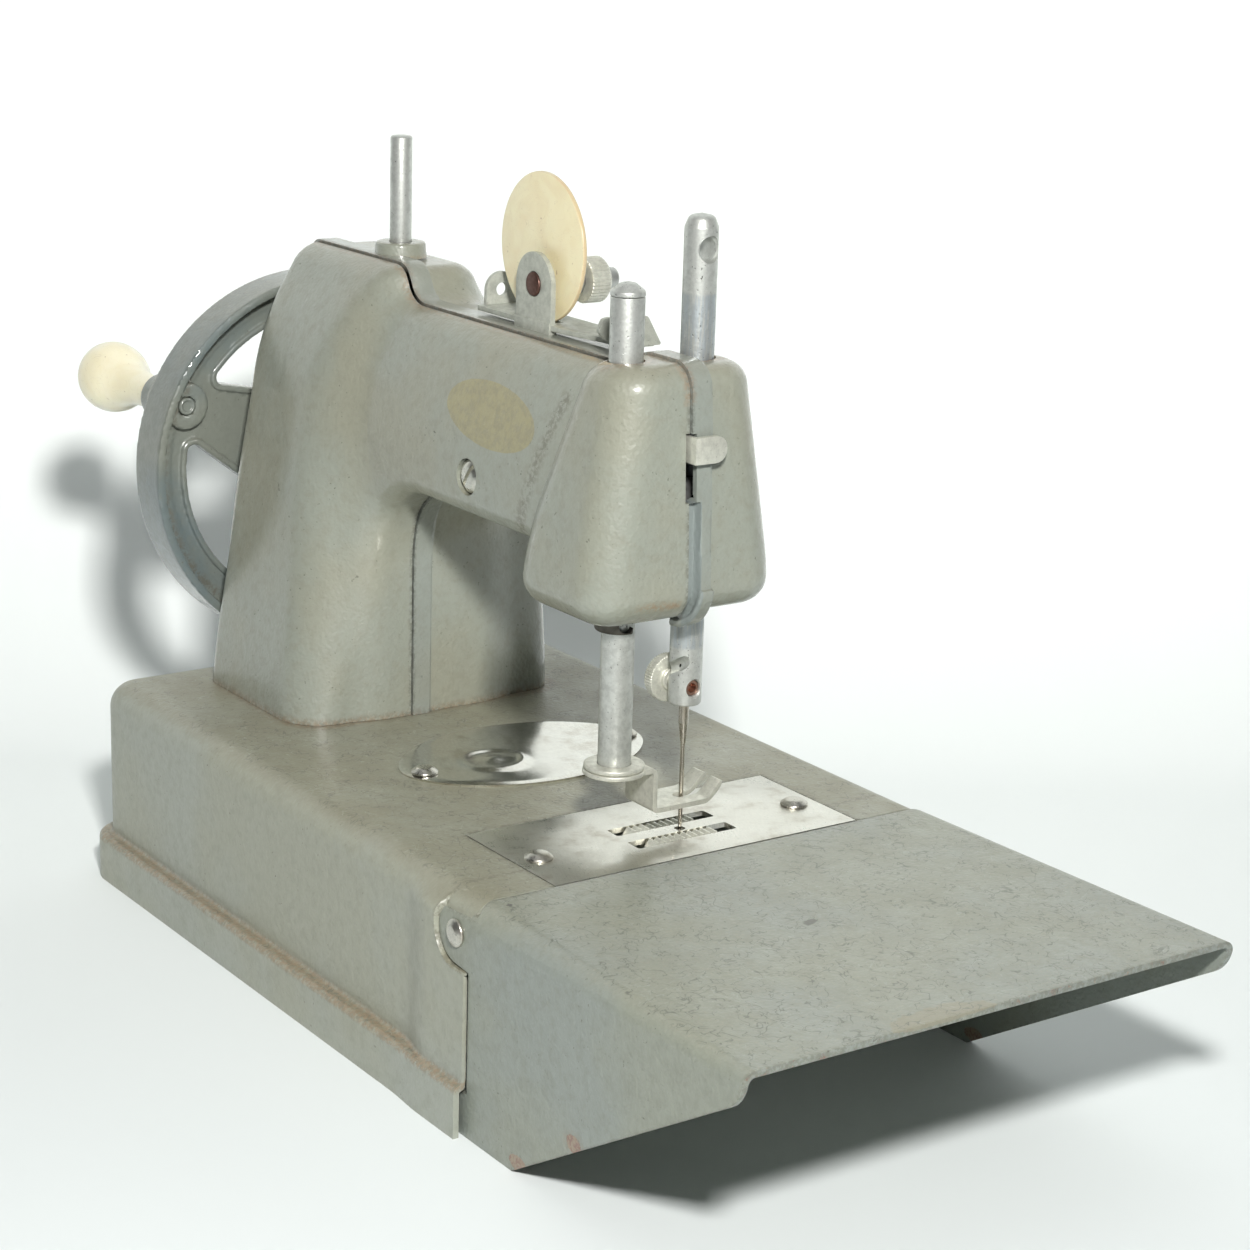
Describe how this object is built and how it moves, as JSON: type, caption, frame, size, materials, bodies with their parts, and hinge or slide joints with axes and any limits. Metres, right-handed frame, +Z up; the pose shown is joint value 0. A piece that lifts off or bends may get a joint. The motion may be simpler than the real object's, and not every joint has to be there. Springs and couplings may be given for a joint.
{
  "type": "hand-crank sewing machine",
  "caption": "Small hand-crank sewing machine: pressed-steel base with folding bed extension, split-shell arm, lever-driven needle bar, presser foot and spoked handwheel.",
  "frame": {"origin": "middle of the bounding box at the table surface", "axes": "+X towards the handwheel, -Y towards the operator, +Z up"},
  "size_m": [0.2798, 0.112, 0.167],
  "materials": {
    "enamel": "grey hammered enamel, satin, worn",
    "wheel_enamel": "blue-grey enamel, satin",
    "bright_plate": "thin plated sheet, satin",
    "bright_screw": "plated fasteners, slightly tarnished",
    "dull_bar": "dull zinc-plated bar with dark specks",
    "inner_steel": "plain mechanism steel",
    "cream_plastic": "aged ivory plastic",
    "brown_stud": "browned stud end"
  },
  "bodies": {
    "frame": {"base_shell": "enamel", "needle_plate": "bright_plate", "plate_screw_rear": "bright_screw", "plate_screw_front": "bright_screw", "oval_cover": "bright_plate", "cover_screw_rear": "bright_screw", "cover_screw_front": "bright_screw", "extension_rivet_rear": "bright_screw", "extension_rivet_front": "bright_screw", "body_shell_rear": "enamel", "body_shell_front": "enamel", "tension_bracket": "bright_plate", "tension_stud": "brown_stud", "tension_disc": "cream_plastic", "tension_spring": "inner_steel", "spool_flange": "enamel", "spool_pin": "dull_bar", "main_shaft_bush": "dull_bar", "shaft_bracket": "inner_steel", "lever_pivot_screw": "bright_screw", "presser_bush": "inner_steel", "shaft_hanger_left": "inner_steel", "shaft_hanger_right": "inner_steel"},
    "bed_extension": {"bed_extension": "enamel"},
    "handwheel": {"handwheel": "wheel_enamel", "main_shaft": "inner_steel", "crank_disc": "inner_steel", "feed_eccentric": "inner_steel", "knob_stud": "bright_screw"},
    "crank_knob": {"crank_knob": "cream_plastic"},
    "connecting_rod": {"connecting_rod": "inner_steel"},
    "needle_lever": {"needle_lever": "inner_steel"},
    "needle_bar": {"needle_bar": "dull_bar", "needle": "bright_screw", "lever_collar": "inner_steel", "needle_set_screw": "brown_stud"},
    "needle_clamp_screw": {"needle_clamp_screw": "bright_screw"},
    "presser_bar": {"presser_bar": "dull_bar", "presser_cap": "dull_bar", "presser_foot": "bright_plate", "foot_rivet": "bright_plate", "lifter_tab": "bright_plate", "presser_collar": "inner_steel", "presser_spring": "inner_steel"},
    "lower_shaft": {"lower_shaft": "inner_steel", "looper": "inner_steel", "feed_arm": "inner_steel", "rocker_arm": "inner_steel"},
    "feed_dog": {"feed_dog": "inner_steel"},
    "tension_nut": {"tension_nut": "bright_screw"}
  },
  "joints": [
    {"name": "extension_fold", "type": "hinge", "parent": "frame", "child": "bed_extension", "pos_m": [-0.05425, 0, 0.0386], "axis": [0, 1, 0], "range_deg": [0, 58]},
    {"name": "handwheel_spin", "type": "hinge", "parent": "frame", "child": "handwheel", "pos_m": [0.09755, 0, 0.0909], "axis": [1, 0, 0], "continuous": true},
    {"name": "crank_knob_spin", "type": "hinge", "parent": "handwheel", "child": "crank_knob", "pos_m": [0.12255, 0.03371, 0.10591], "axis": [1, 0, 0], "continuous": true},
    {"name": "connecting_rod_swing", "type": "hinge", "parent": "handwheel", "child": "connecting_rod", "pos_m": [0.06955, 0.003, 0.0909], "axis": [1, 0, 0], "continuous": true},
    {"name": "needle_lever_rock", "type": "hinge", "parent": "frame", "child": "needle_lever", "pos_m": [0.00445, -0.0082, 0.1067], "axis": [0, 1, 0], "range_deg": [-5.2, 12.5]},
    {"name": "needle_bar_slide", "type": "slide", "parent": "frame", "child": "needle_bar", "axis": [0, 0, 1], "range_m": [-0.0045, 0.0106]},
    {"name": "needle_clamp_turn", "type": "hinge", "parent": "needle_bar", "child": "needle_clamp_screw", "pos_m": [-0.03945, -0.0024, 0.074], "axis": [1, 0, 0], "continuous": true},
    {"name": "presser_bar_lift", "type": "slide", "parent": "frame", "child": "presser_bar", "axis": [0, 0, 1], "range_m": [-0.0056, 0], "deforming": ["presser_spring"]},
    {"name": "lower_shaft_rock", "type": "hinge", "parent": "frame", "child": "lower_shaft", "pos_m": [0.00755, 0.012, 0.022], "axis": [1, 0, 0], "range_deg": [-19.5, 19.5]},
    {"name": "feed_dog_slide", "type": "slide", "parent": "frame", "child": "feed_dog", "axis": [0, 1, 0], "range_m": [-0.0025, 0.0025]},
    {"name": "tension_nut_turn", "type": "hinge", "parent": "frame", "child": "tension_nut", "pos_m": [0.00275, -0.01, 0.1443], "axis": [0, 1, 0], "continuous": true}
  ],
  "couplings": [
    {"joint": "needle_bar_slide", "follows": "needle_lever_rock", "m_per_rad": 0.0484},
    {"joint": "feed_dog_slide", "follows": "lower_shaft_rock", "m_per_rad": -0.007},
    {"joint": "connecting_rod_swing", "follows": "handwheel_spin", "ratio": -1}
  ]
}
